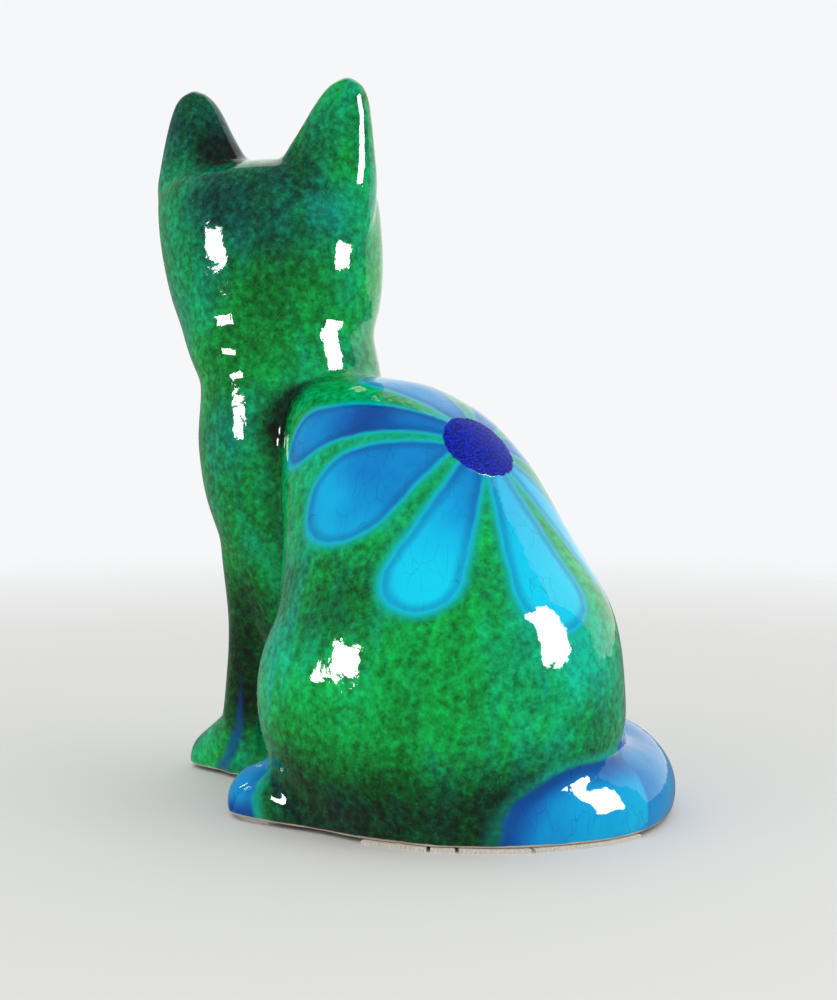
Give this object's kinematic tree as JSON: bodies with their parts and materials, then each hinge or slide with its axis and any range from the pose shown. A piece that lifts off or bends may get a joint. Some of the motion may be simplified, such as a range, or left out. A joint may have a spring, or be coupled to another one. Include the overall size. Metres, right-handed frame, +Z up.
{
  "type": "seated cat figurine",
  "caption": "Hollow glazed earthenware cat, seated with its head turned over one shoulder and its tail wrapped round a flat foot; mottled green with a blue flower on the back.",
  "frame": {"origin": "on the table, under the middle of the figure's bounding box", "axes": "+Z up; the seated body faces -Y with its left side at +X; the head looks towards -X"},
  "size_m": [0.2024, 0.2892, 0.3575],
  "materials": {
    "green_glaze": "gloss",
    "blue_glaze": "gloss",
    "bare_clay": "matte",
    "cream_felt": "matte"
  },
  "bodies": {
    "root": {"body_casting": "green_glaze", "head_casting": "green_glaze", "left_foreleg": "green_glaze", "right_foreleg": "green_glaze", "tail": "blue_glaze", "left_hind_paw": "blue_glaze", "right_hind_paw": "blue_glaze", "foot_plate": "bare_clay", "felt_strip_1": "cream_felt", "felt_strip_2": "cream_felt", "felt_strip_3": "cream_felt", "felt_strip_4": "cream_felt", "felt_strip_5": "cream_felt", "felt_strip_6": "cream_felt", "felt_strip_7": "cream_felt"}
  },
  "joints": []
}
